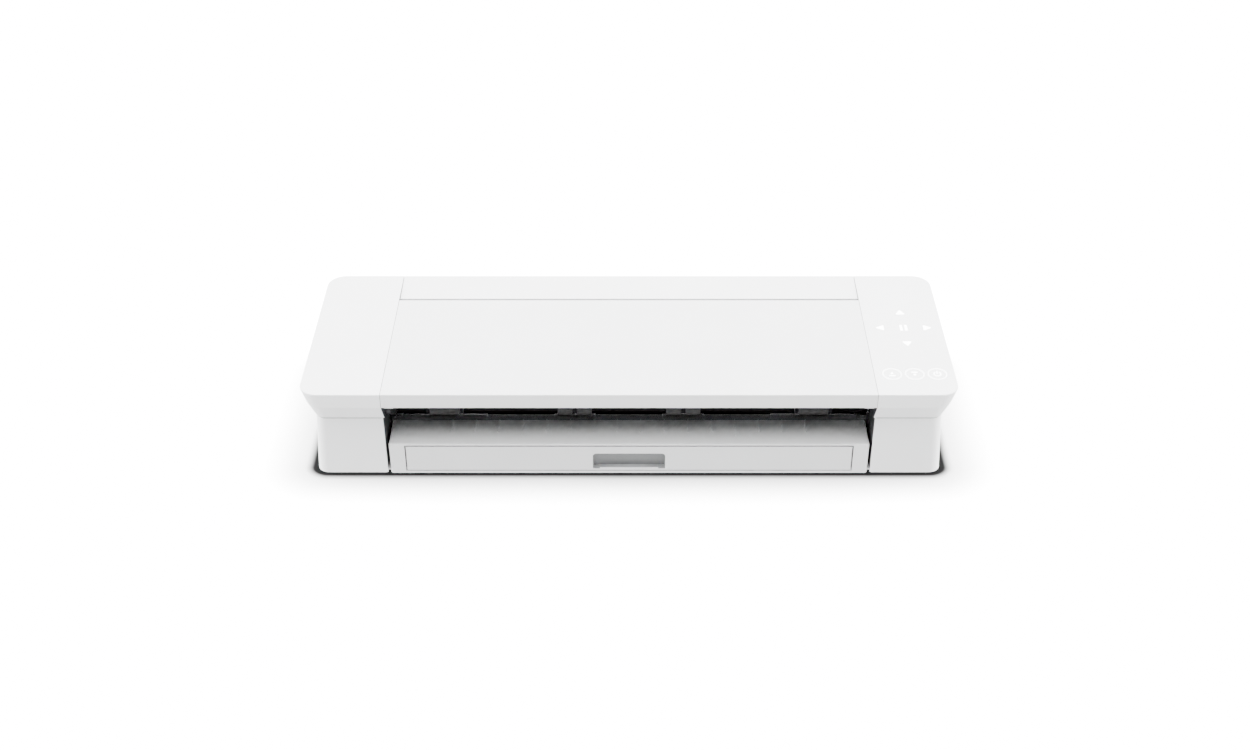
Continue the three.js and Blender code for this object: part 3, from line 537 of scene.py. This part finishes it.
def touch_controls():
    glow = backlit_white()
    x, y = PAD
    flat_mark("touch_up", glow, [arrow(x, y + PAD_STEP_Y, math.pi / 2)])
    flat_mark("touch_down", glow, [arrow(x, y - PAD_STEP_Y, -math.pi / 2)])
    flat_mark("touch_left", glow, [arrow(x - PAD_STEP_X, y, math.pi)])
    flat_mark("touch_right", glow, [arrow(x + PAD_STEP_X, y, 0.0)])
    pause = [bar(x + way * PAUSE_STEP, y, *PAUSE_BAR) for way in (-1, 1)]
    flat_mark("touch_pause", glow, pause)
    glyphs = {
        "touch_load": sheet_glyph(x - RING_STEP, 1),
        "touch_unload": sheet_glyph(x, -1),
        "touch_power": power_glyph(x + RING_STEP),
    }
    for i, (name, glyph) in enumerate(glyphs.items()):
        cx = x + (i - 1) * RING_STEP
        ring = (circle(cx, RING_Y, RING_R), circle(cx, RING_Y, RING_R - RING_WIDTH))
        flat_mark(name, glow, glyph, [ring])


touch_controls()


# ---- screws, rating plate and vent slots painted as dark patches, underside ----------------------
SCREW_X = (-0.258, -0.2, -0.1, 0.1, 0.2, 0.258)
SCREW_Y = (-0.0715, 0.0715)
RATING_PLATE = (0.04, 0.016)  # half its length and half its width
RATING_PLATE_Y = 0.045
VENT = (0.0011, 0.013)  # half the width and half the length of a slot
VENT_COUNT = 11
VENT_PITCH = 0.0052
VENT_GROUP_X = 0.16


def screw(shape, place, radius=0.0028):
    """Domed head with a cross recess, on a face whose outward direction is the place's Z."""
    shape.turned(
        [(0, -0.0004), (radius * 0.9, -0.0004), (radius, 0.0001), (radius * 0.93, 0.0006),
         (radius * 0.7, 0.00105), (radius * 0.42, 0.0013), (radius * 0.36, 0.0007), (0, 0.0006)],
        24, place,
    )
    for turn in (0.0, math.pi / 2):
        arm = Matrix.Rotation(turn, 4, "Z")
        for way in (-1, 1):
            outline = bar(way * radius * 0.52, 0.0, radius * 0.12, radius * 0.1, radius * 0.03)
            shape.prism(outline, 0.0006, 0.00125, place @ arm)


def facing_down(x, y, z):
    return Matrix.Translation((x, y, z)) @ Matrix.Rotation(math.pi, 4, "X")


def underside():
    pan_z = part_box("base_pan")[0].z
    screws = Shape()
    for x in SCREW_X:
        for y in SCREW_Y:
            screw(screws, facing_down(x, y, pan_z + 0.0002))
    screws.piece("base_screws", "frame_steel", "chassis")
    plate = Shape()
    outline = rounded_polygon(rectangle(0.0, 0.0, *RATING_PLATE), 0.003, 5)
    plate.prism(outline, -0.0002, 0.0003, facing_down(0.0, RATING_PLATE_Y, pan_z))
    plate.piece("blank_rating_plate", "grey_plastic", "chassis")
    vents = Shape()
    # Painted shade: dark slot-shaped patches, standing just proud of the pan, stand for the open vent
    # slots.
    slot = rounded_polygon(rectangle(0.0, 0.0, *VENT), 0.0009, 4)
    for side in (-1, 1):
        for i in range(VENT_COUNT):
            x = side * VENT_GROUP_X + (i - VENT_COUNT // 2) * VENT_PITCH
            vents.prism(slot, -0.0002, 0.00012, facing_down(x, 0.0, pan_z))
    vents.piece("base_vent_slots_painted_shade", "dark_plastic", "chassis")


underside()


# ---- studio -------------------------------------------------------------------------------------
def math_node(tree, operation, first, second=None):
    node = tree.nodes.new("ShaderNodeMath")
    node.operation = operation
    for socket, value in zip(node.inputs, (first, second)):
        if isinstance(value, (int, float)):
            socket.default_value = value
        elif value is not None:
            tree.links.new(value, socket)
    return node.outputs[0]


def ramp_node(tree, value, start, end, low, high):
    node = tree.nodes.new("ShaderNodeMapRange")
    node.interpolation_type = "SMOOTHSTEP"
    for name, number in zip(("From Min", "From Max", "To Min", "To Max"), (start, end, low, high)):
        node.inputs[name].default_value = number
    tree.links.new(value, node.inputs["Value"])
    return node.outputs["Result"]


def studio_floor():
    """Pale sweep with a painted contact shadow under the machine, that glows beyond its rounded foot
    (the glow held back near it as a painted soft shadow) and is clear from below.
    """
    mesh = bpy.data.meshes.new("studio_floor")
    corners = [(x, y, 0) for x, y in rectangle(0, 0, FLOOR_REACH, FLOOR_REACH)]
    mesh.from_pydata(corners, [], [(0, 1, 2, 3)])
    sheet = bpy.data.objects.new("studio_floor", mesh)
    bpy.context.scene.collection.objects.link(sheet)
    sheet.location.z = FLOOR_DROP
    shade_rgb = (FLOOR_SHADE, FLOOR_SHADE, FLOOR_SHADE)
    material, tree, shader = new_material("studio_floor", shade_rgb, 0.9, 0.0, 0.0)
    coords = tree.nodes.new("ShaderNodeTexCoord")
    split = tree.nodes.new("ShaderNodeSeparateXYZ")
    tree.links.new(coords.outputs["Object"], split.inputs["Vector"])
    squares = []
    half_x, half_y = FOOT_HIGH.x - FOOT_CORNER, FOOT_HIGH.y - FOOT_CORNER
    for axis, half, pace in (("X", half_x, SIDE_SHADOW_PACE), ("Y", half_y, 1.0)):
        past = math_node(tree, "SUBTRACT", math_node(tree, "ABSOLUTE", split.outputs[axis]), half)
        outside = math_node(tree, "MULTIPLY", math_node(tree, "MAXIMUM", past, 0.0), pace)
        squares.append(math_node(tree, "POWER", outside, 2.0))
    reach_out = math_node(tree, "SQRT", math_node(tree, "ADD", squares[0], squares[1]))
    distance = math_node(tree, "SUBTRACT", reach_out, FOOT_CORNER)
    glow_full = FLOOR_GLOW_FROM + FLOOR_GLOW_WIDTH
    # Painted soft shadow: the glow is off near the foot and rises further out.
    glow = ramp_node(tree, distance, FLOOR_GLOW_FROM, glow_full, 0.0, FLOOR_GLOW)
    shader.inputs["Emission Color"].default_value = (1, 1, 1, 1)
    tree.links.new(glow, shader.inputs["Emission Strength"])
    # Painted contact shadow: the floor's colour darkens to almost black at the machine's foot.
    shade = ramp_node(tree, distance, *FLOOR_PAINTED_SHADOW_RIM, FLOOR_PAINTED_SHADOW_DARKEST, FLOOR_SHADE)
    tree.links.new(shade, shader.inputs["Base Color"])
    clear = tree.nodes.new("ShaderNodeBsdfTransparent")
    side = tree.nodes.new("ShaderNodeNewGeometry")
    one_sided = tree.nodes.new("ShaderNodeMixShader")
    tree.links.new(side.outputs["Backfacing"], one_sided.inputs["Fac"])
    tree.links.new(shader.outputs["BSDF"], one_sided.inputs[1])
    tree.links.new(clear.outputs["BSDF"], one_sided.inputs[2])
    tree.links.new(one_sided.outputs["Shader"], tree.nodes["Material Output"].inputs["Surface"])
    paint(sheet, material)
    sheet.visible_glossy = False
    sheet.visible_diffuse = False


def studio_light():
    """Broad overhead softbox that stops short of the front horizon, side fills and floor bounce."""
    world = bpy.data.worlds.new("studio")
    bpy.context.scene.world = world
    world.use_nodes = True
    tree = world.node_tree
    background = tree.nodes["Background"]
    coords = tree.nodes.new("ShaderNodeTexCoord")
    split = tree.nodes.new("ShaderNodeSeparateXYZ")
    tree.links.new(coords.outputs["Generated"], split.inputs["Vector"])
    forward = math_node(tree, "MULTIPLY", split.outputs["Y"], -1.0)
    raised = math_node(tree, "ARCTAN2", split.outputs["Z"], forward)
    overhead = ramp_node(tree, raised, *OVERHEAD_EDGE, OVERHEAD_REST, OVERHEAD)
    sideways = math_node(tree, "ABSOLUTE", split.outputs["X"])
    fills = ramp_node(tree, sideways, *SIDE_FILL_X, 0.0, SIDE_FILL)
    beside = ramp_node(tree, split.outputs["Y"], *SIDE_FILL_Y, 0.0, 1.0)
    low_down = ramp_node(tree, split.outputs["Z"], *SIDE_FILL_Z, 1.0, 0.0)
    sides = math_node(tree, "MULTIPLY", math_node(tree, "MULTIPLY", fills, beside), low_down)
    above = math_node(tree, "ADD", overhead, sides)
    is_above = ramp_node(tree, split.outputs["Z"], -HORIZON, HORIZON, 0.0, 1.0)
    below = ramp_node(tree, split.outputs["Z"], -HORIZON, HORIZON, FLOOR_BOUNCE, 0.0)
    total = math_node(tree, "ADD", math_node(tree, "MULTIPLY", above, is_above), below)
    tree.links.new(total, background.inputs["Strength"])
    background.inputs["Color"].default_value = (1.0, 1.0, 1.0, 1.0)


def camera():
    data = bpy.data.cameras.new("camera")
    data.lens = LENS
    data.sensor_width = SENSOR
    data.shift_x = LENS_SHIFT
    data.clip_start = 0.02
    data.clip_end = 40.0
    obj = bpy.data.objects.new("camera", data)
    bpy.context.scene.collection.objects.link(obj)
    obj.location = (0.0, CAMERA_Y, HEIGHT + CAMERA_ABOVE)
    obj.rotation_euler = (math.radians(90.0 - CAMERA_TILT), 0.0, 0.0)
    bpy.context.scene.camera = obj


studio_floor()
studio_light()
camera()
